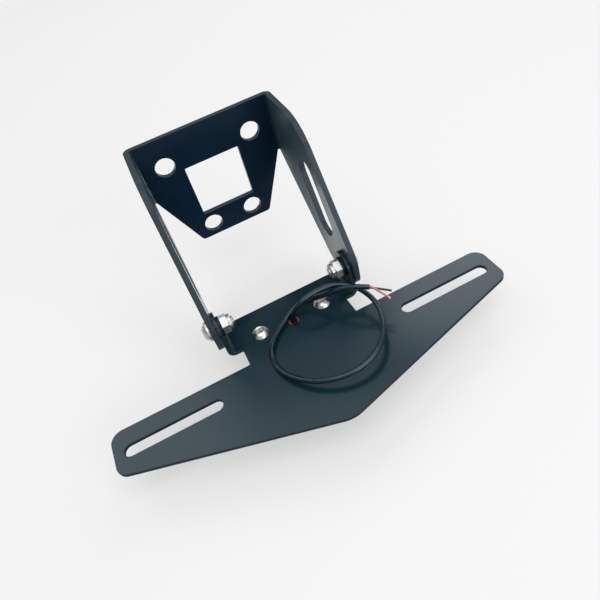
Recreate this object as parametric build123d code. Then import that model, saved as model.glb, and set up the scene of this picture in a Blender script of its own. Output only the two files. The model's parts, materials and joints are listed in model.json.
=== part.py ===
"""Tail tidy: a folded steel bracket that bolts under a motorbike's tail and carries the number plate.

Frame: millimetres, +Z up along the base plate, X along the tilt axis, +Y out of the mounting face.
Origin: on the mounting face, midway between the two upper tail bolts.
"""
import os
from math import cos, pi, radians, tan

from build123d import *

# Upper bracket: one folded sheet, a base plate with two arms
upper_sheet = 3.2
upper_bend = 1.0
inner_width = 83.4
base_height = 76.3
base_foot_width = 48.0
base_foot_radius = 2.5
top_margin = 17.8
fold_length = 36.8
tail_hole = 12.0
upper_bolt_spacing = 54.1
lower_bolt_spacing = 27.7
lower_bolt_margin = 8.9
window_width = 34.5
window_height = 34.9
window_above_foot = 17.9
window_radius = 0.8

# Arms, measured out from the mounting face and down from the upper bolts
pivot_reach = 77.7
pivot_drop = 60.5
arm_end_margin = 11.8
arm_foot_margin = 10.6
shoulder_reach = 44.8
shoulder_radius = 29.0
arm_corner_rise = 11.02
arm_corner_radius = 26.0
arm_tip_radius = 9.0
elbow_reach = 57.5
elbow_radius = 8.0
arm_slot_length = 47.5
arm_slot_width = 18.5
arm_slot_reach = 51.5
arm_slot_drop = 28.0
arm_slot_slope = 62.0

# Plate bracket: one folded sheet, in its own frame with the wings' top edge at y = 0 and its face at z = 0
plate_sheet = 2.0
plate_bend = 2.5
plate_tilt = 4.05
wing_span = 230.8
wing_tip_height = 26.3
wing_tip_lean = 1.0
wing_depth = 59.5
wing_tip_radius = 6.8
vee_radius = 18.0
neck_step = 3.7
neck_radius = 0.8
ear_edge = 13.0
middle_height = 37.4
pivot_above_plate = 13.4
pivot_above_wing = 24.2
ear_radius = 9.2
ear_gap = 0.2
wing_slot_length = 54.9
wing_slot_width = 7.5
wing_slot_margin = 6.15
wing_slot_drop = 14.8

# Pivot and light fasteners
thread = 6.0
thread_clearance = 0.2
nut_clearance = 0.1
head_diameter = 10.5
head_height = 3.3
socket_width = 4.0
socket_depth = 2.0
shank_chamfer = 0.6
pivot_bolt_length = 16.0
light_screw_length = 12.0
outer_washer_diameter = 12.0
outer_washer_thickness = 1.6
inner_washer_diameter = 12.0
inner_washer_thickness = 1.6
nut_width = 10.0
nut_height = 4.2
collar_diameter = 9.2
collar_height = 1.8
collar_wall = 0.8
nut_ring_bore = 6.05
light_nut_height = 5.0
nut_bevel = 30.0

# Plate light on the far side
light_screw_spacing = 40.0
light_screw_height = 18.1
light_lug_width = 15.0
light_lug_thickness = 4.0
light_nut_gap = 1.0
light_breadth = 24.0
light_depth = 16.0
light_radius = 3.0
light_wall = 2.0
light_roof = 3.0
light_rib = 1.6
lens_thickness = 3.5
lens_bulge = 1.2
lens_clearance = 0.1
board_thickness = 1.2
board_gap = 0.4
led_size = 3.5
led_height = 0.9
led_spacing = 7.0
led_count = 3

# Cable, its bush and its two leads
cable_diameter = 3.0
cable_hole = 4.8
cable_hole_height = 14.5
bush_flange = 6.6
bush_flange_thickness = 1.2
bush_lip_radius = 0.5
bush_clearance = 0.1
lead_diameter = 1.2
lead_offset = 0.7
lead_exit = 2.6
arc_share = 0.45

# Cable route in the plate bracket's frame: out of the light, one and a quarter turns, to the cut end
cable_route = [
    (0.0, cable_hole_height, -9.0),
    (0.0, cable_hole_height, 5.6),
    (5.0, 14.7, 12.4),
    (15.6, 16.9, 15.0),
    (28.8, 14.9, 14.4),
    (39.0, 6.8, 12.0),
    (44.2, -5.8, 8.8),
    (42.0, -19.6, 5.8),
    (33.6, -31.6, 3.0),
    (20.6, -38.6, 2.0),
    (5.4, -39.2, 1.9),
    (-9.4, -32.6, 1.9),
    (-19.8, -20.4, 1.9),
    (-22.8, -6.0, 1.9),
    (-17.0, 6.8, 2.0),
    (-6.4, 16.4, 2.4),
    (4.6, 23.6, 3.8),
    (14.8, 20.8, 6.2),
    (22.6, 14.0, 10.6),
    (29.8, 6.6, 15.4),
    (36.6, 1.0, 17.0),
    (42.7, -3.5, 16.2),
]
red_lead_route = [(46.3, -9.8, 15.9), (48.2, -15.2, 14.2)]
black_lead_route = [(47.7, -8.0, 15.2), (51.4, -11.6, 14.6)]

# Values that follow from the sizes above
arm_inner = inner_width / 2
arm_outer = arm_inner + upper_sheet
base_edge = arm_inner - upper_bend
base_top = top_margin
base_foot = base_top - base_height
lower_bolt_height = base_foot + lower_bolt_margin
fold_foot = base_top - fold_length
arm_end = pivot_reach + arm_end_margin
arm_foot = -pivot_drop - arm_foot_margin
ear_outer = arm_inner - ear_gap
ear_inner = ear_outer - plate_sheet
ear_edge_start = ear_inner - plate_bend
bolt_hole = thread + thread_clearance
plate_back = -plate_sheet
light_width = light_screw_spacing - nut_width - 2 * light_nut_gap
light_floor = plate_back - light_depth
cavity_roof = plate_back - light_roof
cavity_floor = light_floor + light_wall
light_front = light_screw_height - light_breadth / 2
lens_back = light_front + lens_thickness
board_back = cable_hole_height - cable_diameter / 2 - board_gap
board_front = board_back - board_thickness

plate_place = (
    Pos(0, -pivot_reach, -pivot_drop)
    * Rot(-plate_tilt, 0, 0)
    * Pos(0, -pivot_above_wing, -pivot_above_plate)
)


def outline(corners):
    """Face inside a closed polygon given as (x, y, corner radius)."""
    points = [(x, y) for x, y, _ in corners]
    return make_face(FilletPolyline(*points, radius=[radius for _, _, radius in corners], close=True))


def base_outline():
    """Front view of the base plate, between the two folds."""
    half_foot = base_foot_width / 2
    plate = outline([
        (-base_edge, base_top, 0),
        (base_edge, base_top, 0),
        (base_edge, fold_foot, 0),
        (half_foot, base_foot, base_foot_radius),
        (-half_foot, base_foot, base_foot_radius),
        (-base_edge, fold_foot, 0),
    ])
    window_middle = base_foot + window_above_foot + window_height / 2
    plate -= Pos(0, window_middle) * RectangleRounded(window_width, window_height, window_radius)
    for spacing, height in ((upper_bolt_spacing, 0), (lower_bolt_spacing, lower_bolt_height)):
        plate -= Pos(0, height) * GridLocations(spacing, 1, 2, 1) * Circle(tail_hole / 2)
    return plate


def arm_outline():
    """Side view of an arm, from its fold to the pivot end."""
    fold_line = upper_sheet + upper_bend
    corner_height = arm_corner_rise - pivot_drop
    arm = outline([
        (-fold_line, base_top, 0),
        (-shoulder_reach, base_top, shoulder_radius),
        (-arm_end, corner_height, arm_corner_radius),
        (-arm_end, arm_foot, arm_tip_radius),
        (-elbow_reach, arm_foot, elbow_radius),
        (-fold_line, fold_foot, 0),
    ])
    arm -= Pos(-pivot_reach, -pivot_drop) * Circle(bolt_hole / 2)
    slot = Rot(0, 0, arm_slot_slope) * SlotOverall(arm_slot_length, arm_slot_width)
    return arm - Pos(-arm_slot_reach, -arm_slot_drop) * slot


def upper_bracket():
    base = extrude(Plane.XZ * base_outline(), upper_sheet)
    arm = extrude(Plane.YZ.offset(arm_inner) * arm_outline(), upper_sheet)
    fold_axis = Axis((base_edge, -upper_sheet - upper_bend, 0), (0, 0, 1))
    fold_middle = Pos(arm_inner + upper_sheet / 2, base_top - fold_length / 2)
    fold_plane = Plane.XZ.offset(upper_sheet + upper_bend)
    fold = revolve(fold_plane * fold_middle * Rectangle(upper_sheet, fold_length), fold_axis, 90)
    side = arm + fold
    return base + side + mirror(side, about=Plane.YZ)


def plate_outline():
    """Flat of the plate bracket: wings, vee and neck, up to the ears' folds."""
    half_span = wing_span / 2
    half_neck = ear_edge_start - neck_step
    right = [
        (ear_edge_start, middle_height, 0),
        (ear_edge_start, ear_edge, 0),
        (half_neck, ear_edge, neck_radius),
        (half_neck, 0, neck_radius),
        (half_span, 0, wing_tip_radius),
        (half_span - wing_tip_lean, -wing_tip_height, wing_tip_radius),
    ]
    left = [(-x, y, radius) for x, y, radius in reversed(right)]
    plate = outline(right + [(0, -wing_depth, vee_radius)] + left)
    slot = SlotOverall(wing_slot_length, wing_slot_width)
    slot_spacing = wing_span - 2 * wing_slot_margin - wing_slot_length
    plate -= Pos(0, -wing_slot_drop) * GridLocations(slot_spacing, 1, 2, 1) * slot
    screw_hole = Circle(bolt_hole / 2)
    plate -= Pos(0, light_screw_height) * GridLocations(light_screw_spacing, 1, 2, 1) * screw_hole
    return plate - Pos(0, cable_hole_height) * Circle(cable_hole / 2)


def ear_outline():
    """Side view of an ear above its fold, rounded about the pivot."""
    round_end = Pos(pivot_above_wing, pivot_above_plate) * Circle(ear_radius)
    root = outline([
        (ear_edge, plate_bend, 0),
        (middle_height, plate_bend, 0),
        (pivot_above_wing + ear_radius, pivot_above_plate, 0),
        (pivot_above_wing - ear_radius, pivot_above_plate, 0),
    ])
    return round_end + root - Pos(pivot_above_wing, pivot_above_plate) * Circle(bolt_hole / 2)


def plate_bracket():
    flat = extrude(plate_outline(), -plate_sheet)
    ear = extrude(Plane.YZ.offset(ear_inner) * ear_outline(), plate_sheet)
    fold_axis = Axis((ear_edge_start, 0, plate_bend), (0, -1, 0))
    fold_width = middle_height - ear_edge
    fold_middle = Pos((middle_height + ear_edge) / 2, plate_back / 2)
    fold_start = Plane.YZ.offset(ear_edge_start)
    fold = revolve(fold_start * fold_middle * Rectangle(fold_width, plate_sheet), fold_axis, 90)
    side = ear + fold
    return flat + side + mirror(side, about=Plane.YZ)


def button_screw(length):
    """Button-head screw along +Z from under its head, with a hex socket and a chamfered end."""
    dome_radius = (head_height**2 + (head_diameter / 2)**2) / (2 * head_height)
    dome = Pos(0, 0, dome_radius - head_height) * Sphere(dome_radius)
    head = dome & (Pos(0, 0, -head_height / 2) * Cylinder(head_diameter / 2, head_height))
    socket = extrude(RegularPolygon(socket_width / 2, 6, major_radius=False), socket_depth)
    shank = Pos(0, 0, length / 2) * Cylinder(thread / 2, length)
    shank = chamfer(shank.edges().group_by(Axis.Z)[-1], shank_chamfer)
    return head + shank - Pos(0, 0, -head_height) * socket


def washer(diameter, thickness):
    ring = Circle(diameter / 2) - Circle(bolt_hole / 2)
    return extrude(ring, thickness)


def hex_nut(height):
    """Plain hex nut along +Z, with its corners turned off at the far end."""
    bore = thread / 2 + nut_clearance
    prism = extrude(RegularPolygon(nut_width / 2, 6, major_radius=False) - Circle(bore), height)
    corner_radius = nut_width / 2 / cos(radians(30))
    cone_rise = (corner_radius + nut_width / 2) * tan(radians(nut_bevel))
    cone_height = height + nut_width / 2 * tan(radians(nut_bevel))
    cone = Pos(0, 0, cone_height - cone_rise / 2) * Cone(corner_radius + nut_width / 2, 0.0, cone_rise)
    skirt_height = cone_height - cone_rise
    if skirt_height > 0:
        cone += Pos(0, 0, skirt_height / 2) * Cylinder(corner_radius + nut_width / 2, skirt_height)
    return prism & cone


def lock_nut():
    """Lock nut along +Z: a hex nut with a thin collar round its nylon ring."""
    collar = Circle(collar_diameter / 2) - Circle(collar_diameter / 2 - collar_wall)
    return hex_nut(nut_height) + Pos(0, 0, nut_height) * extrude(collar, collar_height)


def lock_ring():
    ring = Circle(collar_diameter / 2 - collar_wall - nut_clearance) - Circle(nut_ring_bore / 2)
    return extrude(ring, collar_height)


def light_housing():
    """Moulded shell with two lugs, open towards the wings, with ribs for its lens and board."""
    middle = Pos(0, light_screw_height, plate_back)
    lug_outline = SlotCenterToCenter(light_screw_spacing, light_lug_width)
    lug_outline -= GridLocations(light_screw_spacing, 1, 2, 1) * Circle(bolt_hole / 2)
    lugs = middle * extrude(lug_outline, -light_lug_thickness)
    shell = middle * extrude(RectangleRounded(light_width, light_breadth, light_radius), -light_depth)
    cavity_width = light_width - 2 * light_wall
    cavity_height = cavity_roof - cavity_floor
    cavity_back = light_front + light_breadth - light_wall
    from_floor = (Align.CENTER, Align.MIN, Align.MIN)
    cavity_box = Box(cavity_width, cavity_back - light_front, cavity_height, align=from_floor)
    shell = shell + lugs - Pos(0, light_front, cavity_floor) * cavity_box
    rib_depth = board_front - lens_back
    rib = Box(light_rib, rib_depth, cavity_height, align=(Align.MAX, Align.MIN, Align.MIN))
    right_rib = Pos(cavity_width / 2, lens_back, cavity_floor) * rib
    shell = shell + right_rib + mirror(right_rib, about=Plane.YZ)
    cable_place = Pos(0, cable_hole_height, plate_back)
    bush_seat = Circle(bush_flange / 2 + bush_clearance)
    shell -= cable_place * extrude(bush_seat, -bush_flange_thickness - bush_clearance)
    cable_way = Circle(cable_diameter / 2 + bush_clearance)
    return shell - cable_place * extrude(cable_way, -light_roof)


def light_lens():
    """Clear block that fills the shell's mouth, bulged outwards."""
    height = cavity_roof - cavity_floor - 2 * lens_clearance
    width = light_width - 2 * light_wall - 2 * lens_clearance
    top = cavity_roof - lens_clearance
    foot = top - height
    middle = (top + foot) / 2
    sides = Polyline((light_front, top), (lens_back, top), (lens_back, foot), (light_front, foot))
    bulge = ThreePointArc((light_front, foot), (light_front - lens_bulge, middle), (light_front, top))
    return extrude(Plane.YZ.offset(-width / 2) * make_face(sides + bulge), width)


def light_board():
    height = cavity_roof - cavity_floor - 2 * lens_clearance
    width = light_width - 2 * light_wall - 2 * lens_clearance
    middle = (cavity_roof + cavity_floor) / 2
    return Pos(0, board_front + board_thickness / 2, middle) * Box(width, board_thickness, height)


def light_led(index):
    middle = (cavity_roof + cavity_floor) / 2
    across = (index - (led_count - 1) / 2) * led_spacing
    return Pos(across, board_front - led_height / 2, middle) * Box(led_size, led_height, led_size)


def cable_bush():
    """Rubber bush: a neck in the plate's hole, and a flange on each face of the sheet."""
    neck = cable_hole / 2 - bush_clearance
    bore = cable_diameter / 2 + bush_clearance
    top = bush_flange_thickness
    foot = plate_back - bush_flange_thickness
    section = outline([
        (bore, foot, 0),
        (bush_flange / 2, foot, bush_lip_radius),
        (bush_flange / 2, plate_back, 0),
        (neck, plate_back, 0),
        (neck, 0, 0),
        (bush_flange / 2, 0, 0),
        (bush_flange / 2, top, bush_lip_radius),
        (bore, top, bush_lip_radius),
    ])
    return Pos(0, cable_hole_height) * revolve(Plane.XZ * section, Axis.Z)


def route_radii(points):
    """Largest tangent arc at each inner point, from the shorter run beside it."""
    radii = []
    for before, here, after in zip(points, points[1:], points[2:]):
        run_in = Vector(here) - Vector(before)
        run_out = Vector(after) - Vector(here)
        turn = run_in.get_angle(run_out)
        radii.append(arc_share * min(run_in.length, run_out.length) / tan(radians(turn / 2)))
    return radii


def tube(points, diameter):
    """Round tube along straight runs joined by tangent arcs."""
    radii = route_radii(points)
    path = FilletPolyline(*points, radius=radii)
    start = Plane(origin=points[0], z_dir=Vector(points[1]) - Vector(points[0]))
    solid = sweep(start * Circle(diameter / 2), path)
    section = pi * diameter**2 / 4
    print(f"tube: length {path.length:.1f} mm, volume ratio {solid.volume / (section * path.length):.4f}")
    print(f"  smallest radius {min(radii) / diameter:.1f} diameters")
    print("  radii", [round(radius, 1) for radius in radii])
    return solid


def lead(route, side):
    """Lead out of the cable's cut end, over or under the other one."""
    end = Vector(cable_route[-1])
    along = (end - Vector(cable_route[-2])).normalized()
    over = along.cross(Vector(0, 0, 1)).cross(along).normalized()
    start = end + over * (side * lead_offset)
    out = start + along * lead_exit
    return tube([tuple(start), tuple(out)] + route, lead_diameter)


def facing(side, distance):
    """Place on the pivot axis at a distance from the middle, with +Z towards the middle."""
    return Pos(side * distance, -pivot_reach, -pivot_drop) * Rot(0, -90 * side, 0)


nodes = {"upper_bracket": upper_bracket()}
nodes["plate_bracket"] = plate_place * plate_bracket()

for name, side in (("left", -1), ("right", 1)):
    washer_face = arm_outer + outer_washer_thickness
    nut_face = ear_inner - inner_washer_thickness
    nodes[f"pivot_bolt_{name}"] = facing(side, washer_face) * button_screw(pivot_bolt_length)
    outer_washer = washer(outer_washer_diameter, outer_washer_thickness)
    nodes[f"pivot_washer_outer_{name}"] = facing(side, washer_face) * outer_washer
    inner_washer = washer(inner_washer_diameter, inner_washer_thickness)
    nodes[f"pivot_washer_inner_{name}"] = facing(side, ear_inner) * inner_washer
    nodes[f"pivot_nut_{name}"] = facing(side, nut_face) * lock_nut()
    nodes[f"pivot_nut_ring_{name}"] = facing(side, nut_face - nut_height) * lock_ring()

for name, side in (("left", -1), ("right", 1)):
    screw_place = plate_place * Pos(side * light_screw_spacing / 2, light_screw_height, 0) * Rot(180, 0, 0)
    nodes[f"light_screw_{name}"] = screw_place * button_screw(light_screw_length)
    nut_place = screw_place * Pos(0, 0, plate_sheet + light_lug_thickness) * Rot(0, 0, 30)
    nodes[f"light_nut_{name}"] = nut_place * hex_nut(light_nut_height)

nodes["light_housing"] = plate_place * light_housing()
nodes["light_lens"] = plate_place * light_lens()
nodes["light_board"] = plate_place * light_board()
for index in range(led_count):
    nodes[f"light_led_{index + 1}"] = plate_place * light_led(index)

nodes["cable_grommet"] = plate_place * cable_bush()
nodes["cable"] = plate_place * tube(cable_route, cable_diameter)
nodes["lead_red"] = plate_place * lead(red_lead_route, 1)
nodes["lead_black"] = plate_place * lead(black_lead_route, -1)

os.makedirs("parts", exist_ok=True)
for name, solid in nodes.items():
    export_step(solid, f"parts/{name}.step")
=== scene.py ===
"""Looks of the tail tidy: its camera, materials, threaded screws, cable and leads, floor and light."""
import json
from math import cos, pi, radians, sin

import bmesh
import bpy
from mathutils import Matrix, Vector


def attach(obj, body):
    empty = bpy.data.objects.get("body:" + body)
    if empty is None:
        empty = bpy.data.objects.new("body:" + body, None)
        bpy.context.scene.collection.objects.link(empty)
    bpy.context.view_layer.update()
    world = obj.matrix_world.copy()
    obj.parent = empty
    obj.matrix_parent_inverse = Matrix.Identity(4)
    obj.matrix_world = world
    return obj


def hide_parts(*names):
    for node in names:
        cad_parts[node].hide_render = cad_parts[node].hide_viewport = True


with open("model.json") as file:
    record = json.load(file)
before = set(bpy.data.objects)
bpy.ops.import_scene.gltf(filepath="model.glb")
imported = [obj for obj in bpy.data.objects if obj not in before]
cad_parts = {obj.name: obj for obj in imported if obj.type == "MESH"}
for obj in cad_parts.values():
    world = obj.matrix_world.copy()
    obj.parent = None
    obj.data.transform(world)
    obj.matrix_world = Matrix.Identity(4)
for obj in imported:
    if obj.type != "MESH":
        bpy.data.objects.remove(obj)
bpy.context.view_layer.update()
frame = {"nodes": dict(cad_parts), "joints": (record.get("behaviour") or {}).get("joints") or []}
nodes = frame["nodes"]
scene = bpy.context.scene

# Places in the row frame, in metres
MM = 0.001
UP = Vector((0.0, 0.0, 1.0))
PIVOT = Vector(frame["joints"][0]["pos_m"])
FLOOR_HEIGHT = -92.5 * MM

# The plate bracket's own frame: X across, Y up along its sheet, Z off the side that is seen
PLATE_TILT = radians(4.05)
PLATE_PIVOT = Vector((0.0, 24.2, 13.4)) * MM
PLATE = Matrix.Translation(PIVOT) @ Matrix.Rotation(-PLATE_TILT, 4, "X") @ Matrix.Translation(-PLATE_PIVOT)


def on_plate(x, y, z):
    """Point of the plate bracket's own frame, in mm, as a point of the row frame."""
    return PLATE @ (Vector((x, y, z)) * MM)


# Camera: the photograph's, found from the bracket's corners and holes. The image is in pixels
IMAGE_SIZE = 600
IMAGE_SHIFT = -10
camera_data = bpy.data.cameras.new("camera")
camera_data.sensor_width = 36.0
camera_data.lens = 30.994
camera_data.shift_y = IMAGE_SHIFT / IMAGE_SIZE
camera_data.clip_start = 0.01
camera = bpy.data.objects.new("camera", camera_data)
camera.location = (-0.032, -0.27843, 0.15503)
camera.rotation_euler = (0.732164, 0.205699, -0.435721)
scene.collection.objects.link(camera)
scene.camera = camera


class Tree:
    """Shorthand for the nodes of a material or of the world."""

    def __init__(self, tree):
        self.tree = tree

    def put(self, socket, value):
        """Links a socket to another one, or sets it to a plain value."""
        if isinstance(value, bpy.types.NodeSocket):
            self.tree.links.new(value, socket)
        else:
            socket.default_value = value

    def add(self, kind, inputs=None, **settings):
        node = self.tree.nodes.new(kind)
        for key, value in settings.items():
            setattr(node, key, value)
        for key, value in (inputs or {}).items():
            self.put(node.inputs[key], value)
        return node

    def math(self, operation, first, second=0.0):
        return self.add("ShaderNodeMath", {0: first, 1: second}, operation=operation).outputs["Value"]

    def product(self, first, *others):
        for other in others:
            first = self.math("MULTIPLY", first, other)
        return first

    def dot(self, first, second):
        node = self.add("ShaderNodeVectorMath", {0: first, 1: second}, operation="DOT_PRODUCT")
        return node.outputs["Value"]

    def span(self, value, low, high, start=0.3, end=0.7):
        """Low up to start, high from end on, and an even rise or fall between them."""
        inputs = {"Value": value, "From Min": start, "From Max": end, "To Min": low, "To Max": high}
        return self.add("ShaderNodeMapRange", inputs).outputs["Result"]

    def fade(self, value, low, high, limits):
        """A span between two places that are given in mm."""
        start, end = limits
        return self.span(value, low, high, start * MM, end * MM)


class Look(Tree):
    """A new material, with its shader and its surface's place and facing in the row frame."""

    def __init__(self, name):
        self.material = bpy.data.materials.new(name)
        self.material.use_nodes = True
        super().__init__(self.material.node_tree)
        self.shader = self.tree.nodes["Principled BSDF"]
        self.output = self.tree.nodes["Material Output"]
        coordinates = self.add("ShaderNodeTexCoord").outputs
        self.place = coordinates["Object"]
        self.facing = coordinates["Normal"]

    def shade(self, **inputs):
        """Sets or links the shader's sockets, named with _ for each space."""
        for key, value in inputs.items():
            self.put(self.shader.inputs[key.replace("_", " ")], value)

    def noise(self, scale, detail=2.0, place=None, roughness=0.5):
        inputs = {"Vector": place or self.place, "Scale": scale, "Detail": detail, "Roughness": roughness}
        return self.add("ShaderNodeTexNoise", inputs).outputs["Fac"]

    def mix(self, share, first, second):
        """First colour at a share of 0, second at 1."""
        node = self.add("ShaderNodeMix", data_type="RGBA")
        self.put(node.inputs["Factor"], share)
        colours = [socket for socket in node.inputs if socket.type == "RGBA"]
        for socket, value in zip(colours, (first, second)):
            self.put(socket, value if isinstance(value, bpy.types.NodeSocket) else (*value, 1.0))
        return next(socket for socket in node.outputs if socket.type == "RGBA")

    def split(self, vector):
        return self.add("ShaderNodeSeparateXYZ", {"Vector": vector}).outputs

    def local(self, centre, tilt=0.0):
        """Coordinates about a centre, turned about X by a tilt."""
        inputs = {"Vector": self.place, "Location": tuple(centre), "Rotation": (tilt, 0.0, 0.0)}
        turned = self.add("ShaderNodeMapping", inputs, vector_type="TEXTURE").outputs["Vector"]
        return self.split(turned)

    def distance(self, first, second):
        """Length of a line with these two parts."""
        return self.math("SQRT", self.math("ADD", self.product(first, first), self.product(second, second)))

    def round_edges(self, radius):
        """Normal with the edges rounded by a radius in mm."""
        return self.add("ShaderNodeBevel", {"Radius": radius * MM}, samples=6).outputs["Normal"]

    def rim(self, rounded):
        """1 along edges and 0 on faces, from the rounded normal."""
        flat = self.add("ShaderNodeNewGeometry").outputs["Normal"]
        return self.span(self.dot(rounded, flat), 0.0, 1.0, 0.99, 0.75)

    def bump(self, height, depth, normal=None):
        """Normal with a relief as deep as a depth in mm."""
        inputs = {"Height": height, "Strength": 1.0, "Distance": depth * MM}
        if normal is not None:
            inputs["Normal"] = normal
        return self.add("ShaderNodeBump", inputs).outputs["Normal"]


# Parts of a face's normal between which masks fade: for cut edges, and for the arms' inner faces
EDGE_FACING = (0.3, 0.6)
INNER_FACING = (-0.9, -0.5)

# The upper bracket's coat, with places in mm in the row frame. Its arms lie outside ARM_INSIDE, ahead of
# ARM_BACK, and the two reaches run along them from foot to fold
ARM_INSIDE = 41.2
ARM_BACK = -4.5
# Cut edges and hole walls are painted paler: painted light.
CUT_PAINTED_LIGHT = (0.036, 0.050, 0.062)
# The arms' inner faces are painted paler: a painted reflection.
ARM_PAINTED_REFLECTION = (0.034, 0.068, 0.086)
DULL_REACH = (-66.0, -32.0)
DULL_ROUGHNESS = 0.17
GLOSS_REACH = (-70.0, -46.0)
GLOSS_WEIGHT = 0.7
GLOSS_ROUGHNESS = 0.2

# Scuffs inside its left fold, the pale band along the fold partly rubbing and partly a painted highlight:
# the places in mm between which they fade, or where they stop, and for the band, the specks and the dust,
# the levels of noise from which they show and how strongly
SCUFF_AND_HIGHLIGHT_COLOUR = (0.15, 0.18, 0.20)
BASE_FRONT = (-3.3, -3.0)
ARM_FACE = (-41.0, -40.5)
INSIDE_LIMIT = -42.0
RUB_AND_HIGHLIGHT_ACROSS = (-6.5, -4.5)
RUB_AND_HIGHLIGHT_UPRIGHT = (-4.0, 12.0)
RUB_AND_HIGHLIGHT_LEVELS = (0.36, 0.58)
RUB_AND_HIGHLIGHT_SHARE = 0.8
RUB_AND_HIGHLIGHT_SHARE_ABOVE = 0.25
SPECK_ACROSS = (-20.0, -5.0)
SPECK_LEVELS = (0.60, 0.70)
SPECK_SHARE = 0.55
DUST_FRONT = -5.0
DUST_ACROSS = (-40.0, -24.0)
DUST_LEVELS = (0.66, 0.72)
DUST_SHARE = 0.7

# The plate bracket's wings and slots lie ahead of WING_BACK, and its ears behind it
WING_BACK = -95.0
# The wings' cut edges are painted darker: painted shade.
WING_EDGE_PAINTED_SHADE = (0.002, 0.008, 0.018)
WING_EDGE_ROUGHNESS = 0.5


def bracket_faces(look):
    """Two masks of the upper bracket: its cut edges and hole walls, and the inner faces of its arms."""
    place = look.split(look.place)
    facing = look.split(look.facing)
    across, along, upright = (look.math("ABSOLUTE", facing[axis]) for axis in "XYZ")
    beside = look.math("GREATER_THAN", look.math("ABSOLUTE", place["X"]), ARM_INSIDE * MM)
    on_arm = look.product(beside, look.math("LESS_THAN", place["Y"], ARM_BACK * MM))
    on_base = look.math("SUBTRACT", 1.0, beside)
    sideways = look.math("ADD", look.product(along, on_arm), look.product(across, on_base))
    cut = look.span(look.math("MAXIMUM", upright, sideways), 0.0, 1.0, *EDGE_FACING)
    outward = look.product(facing["X"], look.math("SIGN", place["X"]))
    inner = look.product(on_arm, look.span(outward, 1.0, 0.0, *INNER_FACING))
    return cut, inner


def fold_scuffs_and_highlight(look):
    """Mask of a pale band inside the left fold, partly rubbing and partly a painted highlight, specks on
    the arm beside it and a little dust on the base.
    """
    place = look.split(look.place)
    stretch = look.add("ShaderNodeMapping", {"Vector": look.place, "Scale": (1.0, 1.0, 0.3)})
    streaks = look.noise(700.0, 4.0, stretch.outputs["Vector"], 0.65)
    ahead = look.fade(place["Y"], 1.0, 0.0, BASE_FRONT)
    inside = look.math("GREATER_THAN", place["X"], INSIDE_LIMIT * MM)
    on_arm = look.product(look.fade(place["X"], 1.0, 0.0, ARM_FACE), inside, ahead)
    near_fold = look.fade(place["Y"], 0.0, 1.0, RUB_AND_HIGHLIGHT_ACROSS)
    lower = look.fade(place["Z"], 1.0, RUB_AND_HIGHLIGHT_SHARE_ABOVE, RUB_AND_HIGHLIGHT_UPRIGHT)
    # Pale band along the fold: partly rubbing, partly a painted highlight.
    line = look.product(look.span(streaks, 0.0, RUB_AND_HIGHLIGHT_SHARE, *RUB_AND_HIGHLIGHT_LEVELS), near_fold, lower)
    near_edge = look.fade(place["Y"], 0.0, 1.0, SPECK_ACROSS)
    specks = look.product(look.span(streaks, 0.0, SPECK_SHARE, *SPECK_LEVELS), near_edge)
    rub_and_highlight = look.product(look.math("MAXIMUM", line, specks), on_arm)
    on_base = look.product(look.math("GREATER_THAN", place["Y"], DUST_FRONT * MM), ahead, inside)
    grains = look.span(look.noise(1500.0), 0.0, 1.0, *DUST_LEVELS)
    dust = look.product(grains, on_base, look.fade(place["X"], DUST_SHARE, 0.0, DUST_ACROSS))
    return look.math("MAXIMUM", rub_and_highlight, dust)


def upper_details(look, colour, rough):
    """Cut edges and arm insides painted paler as painted light, scuffs with a painted highlight in the
    fold, and arms dull near the folds and glossy at their feet.
    """
    cut, inner = bracket_faces(look)
    colour = look.mix(cut, look.mix(inner, colour, ARM_PAINTED_REFLECTION), CUT_PAINTED_LIGHT)
    colour = look.mix(fold_scuffs_and_highlight(look), colour, SCUFF_AND_HIGHLIGHT_COLOUR)
    along = look.split(look.place)["Y"]
    dull = look.product(inner, look.fade(along, 0.0, DULL_ROUGHNESS, DULL_REACH))
    gloss = look.product(inner, look.fade(along, GLOSS_WEIGHT, 0.0, GLOSS_REACH))
    look.shade(Coat_Weight=gloss, Coat_Roughness=GLOSS_ROUGHNESS)
    return colour, look.math("ADD", rough, dull)


def plate_details(look, colour, rough):
    """Cut edges round the wings and slots, painted darker as painted shade, and duller."""
    level = look.math("ABSOLUTE", look.dot(look.facing, tuple(PLATE.to_3x3() @ UP)))
    ahead = look.math("LESS_THAN", look.split(look.place)["Y"], WING_BACK * MM)
    edge = look.product(look.span(level, 1.0, 0.0, *EDGE_FACING), ahead)
    colour = look.mix(edge, colour, WING_EDGE_PAINTED_SHADE)
    return colour, look.math("ADD", rough, look.product(edge, WING_EDGE_ROUGHNESS))


# Powder coat: its rounded edges and the depth of its orange peel in mm, and its gloss
COAT_ROUNDING = 0.45
COAT_PEEL = 0.0035
COAT_EDGE_SHARE = 0.75
COAT_ROUGHNESS = (0.19, 0.24)
COAT_GRAIN = (-0.015, 0.015)
COAT_SHEEN = (0.87, 0.92, 1.0, 1.0)


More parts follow.
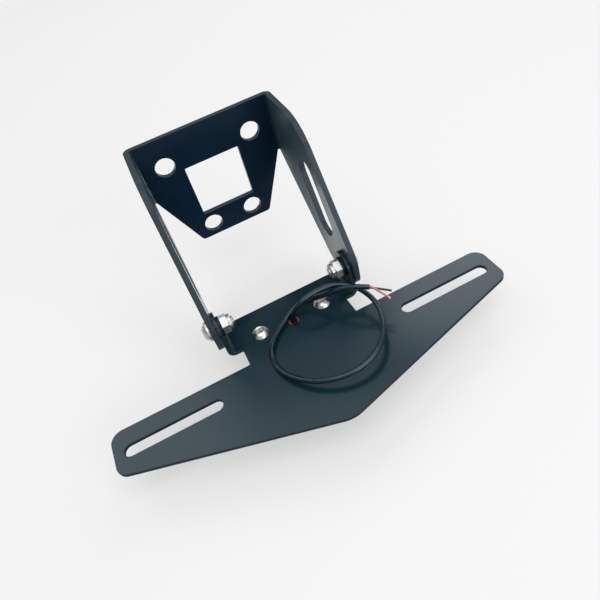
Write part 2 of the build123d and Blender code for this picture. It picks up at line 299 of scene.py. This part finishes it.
def powder_coat(name, dark, light, edge, ior, details=None):
    """Satin black powder coat: fine orange peel, faint clouding, and paler along its edges, partly thinner
    coat and partly a painted highlight.
    """
    look = Look(name)
    rounded = look.round_edges(COAT_ROUNDING)
    cloud = look.noise(38.0, 4.0)
    peel = look.noise(950.0)
    speck = look.noise(5200.0, 1.0)
    colour = look.mix(look.span(cloud, 0.0, 1.0), dark, light)
    # Paler rim along the edges: partly thinner coat, partly a painted highlight.
    colour = look.mix(look.product(look.rim(rounded), COAT_EDGE_SHARE), colour, edge)
    rough = look.math("ADD", look.span(cloud, *COAT_ROUGHNESS), look.span(speck, *COAT_GRAIN))
    if details:
        colour, rough = details(look, colour, rough)
    height = look.math("ADD", peel, look.product(speck, 0.25))
    look.shade(Base_Color=colour, Roughness=rough, Normal=look.bump(height, COAT_PEEL, rounded))
    look.shade(IOR=ior, Specular_Tint=COAT_SHEEN)
    return look.material


# Where the screws' heads sit, in mm: out from the middle, and up the plate bracket's sheet
PIVOT_SCREW_OUT = 46.5
LIGHT_SCREW_OUT = 20.0
LIGHT_SCREW_UP = 18.1


def turned_steel(name, dark, light, rough, radius_from):
    """Bright stainless steel, smeared a little, with fine rings round the fastener's axis."""
    look = Look(name)
    rounded = look.round_edges(0.25)
    ring_inputs = {"W": radius_from(look), "Scale": 9000.0, "Detail": 2.0}
    rings = look.add("ShaderNodeTexNoise", ring_inputs, noise_dimensions="1D").outputs["Fac"]
    smear = look.noise(420.0, 3.0)
    uneven = look.span(smear, rough - 0.08, rough + 0.08)
    look.shade(Base_Color=look.mix(look.span(smear, 0.0, 1.0), dark, light))
    look.shade(Roughness=look.math("ADD", uneven, look.span(rings, -0.03, 0.05)))
    look.shade(Normal=look.bump(rings, 0.0025, rounded), Metallic=1.0)
    return look.material


def pivot_radius(look):
    """Distance from the pivot's axis."""
    parts = look.local(PIVOT)
    return look.distance(parts["Y"], parts["Z"])


def light_screw_radius(look):
    """Distance from the axis of the nearer light screw."""
    parts = look.local(on_plate(0.0, LIGHT_SCREW_UP, 0.0), -PLATE_TILT)
    across = look.math("SUBTRACT", look.math("ABSOLUTE", parts["X"]), LIGHT_SCREW_OUT * MM)
    return look.distance(across, parts["Y"])


def moulded(name, dark, light, rough, grain, depth, rounding=0.3, ior=1.5, tint=(1.0, 1.0, 1.0)):
    """Moulded, extruded or tinned surface: two close tones, uneven gloss and a fine grain, depth in mm."""
    look = Look(name)
    rounded = look.round_edges(rounding)
    tone = look.noise(160.0, 3.0)
    fine = look.noise(grain)
    gloss = look.math("ADD", look.span(tone, rough - 0.05, rough + 0.05), look.span(fine, -0.03, 0.03))
    look.shade(Base_Color=look.mix(look.span(tone, 0.0, 1.0), dark, light))
    look.shade(Roughness=gloss, Normal=look.bump(fine, depth, rounded))
    look.shade(IOR=ior, Specular_Tint=(*tint, 1.0))
    return look.material


def clear_lens():
    """Clear moulded lens with fine upright flutes."""
    look = Look("clear_lens")
    flutes = look.add("ShaderNodeTexWave", {"Vector": look.place, "Scale": 105.0}, bands_direction="X")
    haze = look.noise(300.0, 3.0)
    look.shade(Base_Color=look.mix(look.span(haze, 0.0, 1.0), (0.93, 0.95, 0.96), (0.98, 0.98, 0.98)))
    look.shade(Roughness=look.span(haze, 0.04, 0.1), Normal=look.bump(flutes.outputs["Fac"], 0.12))
    look.shade(Transmission_Weight=0.92, IOR=1.58)
    return look.material


# The bush's deep red shows only at the two sides of its hole: painted glints.
BUSH_DARK = (0.006, 0.003, 0.006)
BUSH_GLINT_REDS = (0.17, 0.02, 0.055), (0.32, 0.06, 0.12)
BUSH_GLINT_SIDES = (1.6, 2.2)


def bush_rubber():
    """Dark dull rubber, with deep red painted at the two sides of the hole as painted glints, and glossy
    there.
    """
    look = Look("bush")
    side = look.fade(look.math("ABSOLUTE", look.split(look.place)["X"]), 0.0, 1.0, BUSH_GLINT_SIDES)
    fine = look.noise(2200.0)
    look.shade(Base_Color=look.mix(side, BUSH_DARK, look.mix(fine, *BUSH_GLINT_REDS)))
    look.shade(Roughness=look.span(side, 0.7, 0.14, 0.0, 1.0), IOR=1.3)
    look.shade(Normal=look.bump(fine, 0.01, look.round_edges(0.3)))
    return look.material


LED_PITCH = 7.0
LED_ROW_START = -1.5 * LED_PITCH
LED_MIDDLE = (0.0, 10.95, -10.5)
LED_DISC = (1.25, 1.4)
LED_WHITE = (0.82, 0.82, 0.8)
LED_PHOSPHOR = (0.78, 0.6, 0.09), (0.92, 0.76, 0.2)


def led_face():
    """White package round a yellow phosphor disc, the same on each of the row of lights."""
    look = Look("led")
    parts = look.local(on_plate(*LED_MIDDLE), -PLATE_TILT)
    from_start = look.math("SUBTRACT", parts["X"], LED_ROW_START * MM)
    in_pitch = look.math("MODULO", from_start, LED_PITCH * MM)
    across = look.math("SUBTRACT", in_pitch, LED_PITCH / 2 * MM)
    disc = look.fade(look.distance(across, parts["Z"]), 1.0, 0.0, LED_DISC)
    grain = look.noise(2500.0)
    look.shade(Base_Color=look.mix(disc, LED_WHITE, look.mix(grain, *LED_PHOSPHOR)))
    look.shade(Roughness=look.span(disc, 0.35, 0.6, 0.0, 1.0), Normal=look.bump(grain, 0.01))
    return look.material


# Colour of the coat's paler rim: partly thinner coat, partly a painted highlight.
EDGE_COLOUR = (0.022, 0.036, 0.048)
NUT_TONES = (0.34, 0.35, 0.35), (0.56, 0.565, 0.55)
SCREW_TONES = (0.50, 0.505, 0.49), (0.66, 0.66, 0.64)
SCREW_ROUGHNESS = 0.28
# The upper bracket's coat is a darker copy of the plate's: painted shade.
coat_upper_shaded = powder_coat("coat_upper_shaded", dark=(0.002, 0.012, 0.027), light=(0.004, 0.016, 0.033),
                         edge=EDGE_COLOUR, ior=1.23, details=upper_details)
coat_plate = powder_coat("coat_plate", dark=(0.0055, 0.0245, 0.036), light=(0.0085, 0.0295, 0.042),
                         edge=(0.024, 0.038, 0.050), ior=1.4, details=plate_details)
coat_washer = powder_coat("coat_washer", dark=(0.002, 0.012, 0.024), light=(0.004, 0.015, 0.028),
                          edge=EDGE_COLOUR, ior=1.3)
nut_steel = turned_steel("nut_steel", *NUT_TONES, 0.3, pivot_radius)
bolt_steel = turned_steel("bolt_steel", *SCREW_TONES, SCREW_ROUGHNESS, pivot_radius)
light_steel = turned_steel("light_steel", *SCREW_TONES, SCREW_ROUGHNESS, light_screw_radius)
tinned = moulded("tinned", dark=(0.62, 0.60, 0.56), light=(0.78, 0.77, 0.74),
                 rough=0.3, grain=3000.0, depth=0.004, rounding=0.05)
nylon = moulded("nylon", dark=(0.52, 0.53, 0.49), light=(0.62, 0.62, 0.58),
                rough=0.45, grain=1800.0, depth=0.01, rounding=0.2)
shell = moulded("shell", dark=(0.010, 0.011, 0.013), light=(0.016, 0.017, 0.019),
                rough=0.5, grain=2600.0, depth=0.03, rounding=0.5)
board = moulded("board", dark=(0.72, 0.74, 0.72), light=(0.82, 0.83, 0.81),
                rough=0.3, grain=900.0, depth=0.01, rounding=0.1)
sheath = moulded("sheath", dark=(0.0005, 0.006, 0.011), light=(0.001, 0.0075, 0.014),
                 rough=0.24, grain=1500.0, depth=0.001, ior=1.6, tint=(0.62, 0.90, 1.0))
red_sheath = moulded("red_sheath", dark=(0.60, 0.20, 0.18), light=(0.70, 0.27, 0.25),
                     rough=0.38, grain=2400.0, depth=0.01, rounding=0.1)
black_sheath = moulded("black_sheath", dark=(0.014, 0.016, 0.013), light=(0.026, 0.028, 0.024),
                       rough=0.38, grain=2400.0, depth=0.01, rounding=0.1)
led = led_face()

looks = {
    "upper_bracket": coat_upper_shaded,
    "plate_bracket": coat_plate,
    "light_housing": shell,
    "light_lens": clear_lens(),
    "light_board": board,
    "cable_grommet": bush_rubber(),
}
for side in ("left", "right"):
    looks[f"pivot_bolt_{side}"] = bolt_steel
    looks[f"pivot_washer_outer_{side}"] = bolt_steel
    looks[f"pivot_nut_{side}"] = nut_steel
    looks[f"light_screw_{side}"] = light_steel
    looks[f"light_nut_{side}"] = light_steel
    looks[f"pivot_nut_ring_{side}"] = nylon
    looks[f"pivot_washer_inner_{side}"] = coat_washer
for index in (1, 2, 3):
    looks[f"light_led_{index}"] = led
for name, material in looks.items():
    slots = nodes[name].data.materials
    slots.clear()
    slots.append(material)


def smooth_mesh(name, shape, sharp, material):
    """Mesh of a finished shape, smooth but for edges sharper than an angle in degrees."""
    mesh = bpy.data.meshes.new(name)
    shape.to_mesh(mesh)
    shape.free()
    mesh.shade_smooth()
    mesh.set_sharp_from_angle(angle=radians(sharp))
    mesh.materials.append(material)
    return mesh


def add_piece(name, data, body, replaced=None):
    """Object that rides on a body, and hides the CAD node that it stands for, if any."""
    piece = bpy.data.objects.new(name, data)
    scene.collection.objects.link(piece)
    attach(piece, body)
    if replaced:
        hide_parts(replaced)
    return piece


# Button-head screws, in mm: the CAD's sizes, with the thread that shows past the nut
PIVOT_SCREW_LENGTH = 16.0
LIGHT_SCREW_LENGTH = 12.0
HEAD_RADIUS = 5.25
HEAD_HEIGHT = 3.3
HEAD_RIM = 0.2
DOME_RINGS = 9
SOCKET_APOTHEM = 2.0
SOCKET_DEPTH = 2.0
SOCKET_CHAMFER = 0.45
SHANK_RADIUS = 3.0
THREAD_PITCH = 1.0
THREAD_DEPTH = 0.56
THREAD_FLAT = 0.125
THREAD_SHOWN = 3.0
THREAD_STEPS = 10
END_CHAMFER = 0.6
COLUMNS = 48
SCREW_SHARP = 32


def hexagon(apothem):
    """Distance from the middle to a hexagon's side at an angle."""
    return lambda angle, height: apothem / cos((angle + pi / 6) % (pi / 3) - pi / 6)


def circle(radius):
    return lambda angle, height: radius


def thread_ridge(length):
    """Radius of the helical ridge at an angle and height, inside the chamfered end."""
    def radius(angle, height):
        phase = (height / THREAD_PITCH - angle / (2 * pi)) % 1.0
        rise = min(max((abs(2 * phase - 1) - THREAD_FLAT) / (1 - 2 * THREAD_FLAT), 0.0), 1.0)
        end = SHANK_RADIUS - max(height - length + END_CHAMFER, 0.0)
        return min(SHANK_RADIUS + THREAD_DEPTH * (rise - 1.0), end)
    return radius


def dome_height(radius):
    """Height of the head's dome at a radius. Heights run down the shank, so the head's are negative."""
    ball = (HEAD_HEIGHT**2 + HEAD_RADIUS**2) / (2 * HEAD_HEIGHT)
    return ball - HEAD_HEIGHT - (ball**2 - radius**2) ** 0.5


def screw_rings(length):
    """Rings from the bottom of the socket, over the head and down the thread, as (radius, height)."""
    mouth = SOCKET_APOTHEM / cos(pi / 6) + SOCKET_CHAMFER
    shoulder = HEAD_RADIUS - HEAD_RIM / 2
    rings = [
        (hexagon(SOCKET_APOTHEM), SOCKET_DEPTH - HEAD_HEIGHT),
        (hexagon(SOCKET_APOTHEM), dome_height(mouth) + SOCKET_CHAMFER),
    ]
    for step in range(DOME_RINGS):
        radius = mouth + (shoulder - mouth) * step / (DOME_RINGS - 1)
        rings.append((circle(radius), dome_height(radius)))
    thread_start = length - THREAD_SHOWN
    rings.append((circle(HEAD_RADIUS), -HEAD_RIM / 2))
    rings.append((circle(shoulder), 0.0))
    rings.append((circle(SHANK_RADIUS), 0.0))
    rings.append((circle(SHANK_RADIUS), thread_start))
    for step in range(round(THREAD_SHOWN * THREAD_STEPS / THREAD_PITCH) + 1):
        rings.append((thread_ridge(length), thread_start + step * THREAD_PITCH / THREAD_STEPS))
    return rings


def screw(name, place, length, material, body, node):
    """Screw with its head's underside on place, replacing the CAD's plain one."""
    shape = bmesh.new()
    loops = []
    for radius, height in screw_rings(length):
        loop = []
        for column in range(COLUMNS):
            angle = 2 * pi * column / COLUMNS
            out = radius(angle, height)
            loop.append(shape.verts.new((out * cos(angle), out * sin(angle), height)))
        loops.append(loop)
    shape.faces.new(loops[0])
    shape.faces.new(reversed(loops[-1]))
    for near, far in zip(loops, loops[1:]):
        for column in range(COLUMNS):
            after = (column + 1) % COLUMNS
            shape.faces.new((near[after], near[column], far[column], far[after]))
    bmesh.ops.recalc_face_normals(shape, faces=shape.faces)
    shape.transform(place @ Matrix.Scale(MM, 4))
    mesh = smooth_mesh(name, shape, SCREW_SHARP, material)
    add_piece(name, mesh, body, node)


for side, sign in (("left", -1), ("right", 1)):
    beside = PIVOT + Vector((sign * PIVOT_SCREW_OUT, 0.0, 0.0)) * MM
    seat = Matrix.Translation(beside) @ Matrix.Rotation(-sign * pi / 2, 4, "Y")
    screw(f"pivot_screw_{side}", seat, PIVOT_SCREW_LENGTH, bolt_steel, "bracket", f"pivot_bolt_{side}")
    on_sheet = Vector((sign * LIGHT_SCREW_OUT, LIGHT_SCREW_UP, 0.0)) * MM
    seat = PLATE @ Matrix.Translation(on_sheet) @ Matrix.Rotation(pi, 4, "X")
    screw(f"fixing_screw_{side}", seat, LIGHT_SCREW_LENGTH, light_steel, "plate", f"light_screw_{side}")


# The cable and its leads, in mm in the plate bracket's frame. The route has the CAD's points, moved to
# follow the photograph's loop, which springs off the plate at its lower right
CABLE_DIAMETER = 3.0
CABLE_ROUTE = [
    (0.0, 14.5, -9.0),
    (0.0, 14.5, 5.6),
    (5.4, 12.9, 12.2),
    (15.2, 13.6, 14.9),
    (27.9, 13.2, 14.4),
    (38.4, 6.3, 12.0),
    (43.0, -6.6, 9.4),
    (40.1, -21.6, 8.6),
    (31.4, -34.5, 8.0),
    (19.0, -40.8, 7.2),
    (5.1, -40.6, 5.9),
    (-9.0, -33.6, 4.3),
    (-19.1, -20.7, 2.6),
    (-22.2, -6.2, 2.1),
    (-16.3, 6.5, 2.0),
    (-5.5, 15.3, 2.4),
    (5.2, 21.3, 3.8),
    (14.6, 18.3, 6.2),
    (21.8, 12.0, 10.6),
    (29.4, 6.0, 15.4),
    (36.6, 1.0, 17.0),
    (42.7, -3.5, 16.2),
]
LEAD_DIAMETER = 1.2
LEAD_STRAIGHT = 0.9
RED_OFFSET = 0.7
RED_END = (47.75, -14.1, 14.3)
BLACK_OFFSET = -0.45
BLACK_BEND = (47.7, -8.0, 15.2)
BLACK_END = (51.4, -11.6, 14.6)


def flex(name, points, diameter, material, replaced):
    """Round cord on one smooth spline, its control points those of the route, riding on the plate."""
    curve = bpy.data.curves.new(name, "CURVE")
    curve.dimensions = "3D"
    curve.resolution_u = 14
    curve.bevel_depth = diameter / 2 * MM
    curve.bevel_resolution = 7
    curve.use_fill_caps = True
    spline = curve.splines.new("NURBS")
    spline.points.add(len(points) - 1)
    for point, place in zip(spline.points, points):
        point.co = (*on_plate(*place), 1.0)
    spline.order_u = 3
    spline.use_endpoint_u = True
    spline.use_smooth = True
    curve.materials.append(material)
    return add_piece(name, curve, "plate", replaced)


def lead_start(offset):
    """A lead's first two points, straight out of the cable's cut end and beside its middle by an offset."""
    end = Vector(CABLE_ROUTE[-1])
    along = (end - Vector(CABLE_ROUTE[-2])).normalized()
    over = along.cross(UP).cross(along).normalized()
    start = end + over * offset
    return [start, start + along * LEAD_STRAIGHT]


# Tinned copper strands out of the red lead's cut end: a ring of them round one in the middle
STRANDS_ROUND = 6
STRAND_RADIUS = 0.17
STRAND_TAPER = 0.85
STRAND_LENGTH = 1.5
STRAND_HIDDEN = 0.3
STRAND_SPREAD = 0.16
STRAND_UNEVEN = 0.5
STRAND_SIDES = 8
STRAND_SHARP = 50


def strands(name, end, before):
    """Strands that go on from a lead's end, away from the point before it, fanning a little."""
    end = Vector(end)
    ahead = (end - Vector(before)).normalized()
    sideways = ahead.orthogonal().normalized() * 2 * STRAND_RADIUS
    length = STRAND_LENGTH + STRAND_HIDDEN
    shape = bmesh.new()
    for index in range(STRANDS_ROUND + 1):
        turn = Matrix.Rotation(2 * pi * index / STRANDS_ROUND, 3, ahead)
        out = turn @ sideways if index < STRANDS_ROUND else Vector()
        spread = STRAND_SPREAD * (1.0 + STRAND_UNEVEN * (index % 2))
        lean = (ahead + out * spread).normalized()
        middle = end + out - ahead * STRAND_HIDDEN + lean * length / 2
        upright = lean.to_track_quat("Z", "Y").to_matrix().to_4x4()
        place = PLATE @ Matrix.Scale(MM, 4) @ Matrix.Translation(middle) @ upright
        bmesh.ops.create_cone(shape, cap_ends=True, segments=STRAND_SIDES, radius1=STRAND_RADIUS,
                              radius2=STRAND_RADIUS * STRAND_TAPER, depth=length, matrix=place)
    return add_piece(name, smooth_mesh(name, shape, STRAND_SHARP, tinned), "plate")


red_points = [*lead_start(RED_OFFSET), RED_END]
black_points = [*lead_start(BLACK_OFFSET), BLACK_BEND, BLACK_END]
red_lead = flex("red_wire", red_points, LEAD_DIAMETER, red_sheath, "lead_red")
black_lead = flex("black_wire", black_points, LEAD_DIAMETER, black_sheath, "lead_black")
red_strands = strands("red_strands", RED_END, red_points[-2])
cable = flex("light_cable", CABLE_ROUTE, CABLE_DIAMETER, sheath, "cable")


# Floor and background, with lengths in metres
WHITE = (0.93, 0.932, 0.93, 1.0)
FLOOR_TONES = (0.87, 0.875, 0.873), (0.90, 0.903, 0.90)
FLOOR_HALF = 6.0
FLOOR_FADE = (0.45, 1.3)
SHADOW_LIFT = 0.5
FILL = 0.36
MIRRORED_TOP = (0.1, -0.2, 0.97)
MIRRORED_LEVELS = (0.2, 1.0)
MIRRORED_RISE = (0.25, 0.95)


def floor_look():
    """Plain and pale, with a lifted shadow, fading to the background's white away from the object."""
    look = Look("floor")
    look.shade(Base_Color=look.mix(look.noise(3.0), *FLOOR_TONES), Roughness=0.7, Specular_IOR_Level=0.2)
    distance = look.add("ShaderNodeVectorMath", {0: look.place}, operation="LENGTH").outputs["Value"]
    far = look.span(distance, 0.0, 1.0, *FLOOR_FADE)
    rays = look.add("ShaderNodeLightPath").outputs
    seen = look.product(rays["Is Camera Ray"], look.math("MAXIMUM", far, SHADOW_LIFT))
    mirrored = look.math("MAXIMUM", rays["Is Glossy Ray"], rays["Is Transmission Ray"])
    share = look.math("MAXIMUM", seen, look.product(mirrored, far))
    glow = look.add("ShaderNodeEmission", {"Color": WHITE, "Strength": 1.0}).outputs["Emission"]
    blend = look.add("ShaderNodeMixShader", {0: share, 1: look.shader.outputs["BSDF"], 2: glow})
    look.put(look.output.inputs["Surface"], blend.outputs["Shader"])
    return look.material


def studio_world():
    """Even fill, white where it is seen, and where it is mirrored, white overhead and grey lower down."""
    world = bpy.data.worlds.new("studio")
    world.use_nodes = True
    look = Tree(world.node_tree)
    rays = look.add("ShaderNodeLightPath").outputs
    outward = look.add("ShaderNodeTexCoord").outputs["Generated"]
    overhead = look.span(look.dot(outward, MIRRORED_TOP), *MIRRORED_LEVELS, *MIRRORED_RISE)
    mirrored = look.math("MAXIMUM", rays["Is Glossy Ray"], rays["Is Transmission Ray"])
    plain = look.math("MAXIMUM", rays["Is Camera Ray"], FILL)
    background = look.tree.nodes["Background"]
    look.put(background.inputs["Color"], WHITE)
    look.put(background.inputs["Strength"], look.math("MAXIMUM", look.product(mirrored, overhead), plain))
    return world


corners = [(x * FLOOR_HALF, y * FLOOR_HALF, FLOOR_HEIGHT) for x, y in ((-1, -1), (1, -1), (1, 1), (-1, 1))]
floor_mesh = bpy.data.meshes.new("floor")
floor_mesh.from_pydata(corners, [], [(0, 1, 2, 3)])
floor_mesh.materials.append(floor_look())
floor = bpy.data.objects.new("floor", floor_mesh)
scene.collection.objects.link(floor)
scene.world = studio_world()

# Lamps: large soft ones, all turned to the object's middle
LAMP_AIM = Vector((0.0, -0.08, -0.05))


def softbox(name, place, size, watts):
    lamp = bpy.data.lights.new(name, "AREA")
    lamp.shape = "RECTANGLE"
    lamp.size, lamp.size_y = size
    lamp.energy = watts
    holder = bpy.data.objects.new(name, lamp)
    holder.location = place
    holder.rotation_euler = (LAMP_AIM - Vector(place)).to_track_quat("-Z", "Y").to_euler()
    holder.visible_camera = False
    scene.collection.objects.link(holder)


softbox("left", place=(-0.6, 1.05, 1.05), size=(0.82, 0.8), watts=3.9)
softbox("right", place=(0.95, 1.05, 1.0), size=(0.75, 0.8), watts=5.8)
softbox("back", place=(0.05, 1.1, 1.85), size=(0.9, 0.5), watts=1.5)
softbox("top", place=(0.05, -0.4, 1.25), size=(1.7, 1.3), watts=9.4)
softbox("front", place=(0.55, -1.3, 0.45), size=(1.2, 0.8), watts=8.5)

scene.view_settings.view_transform = "Standard"
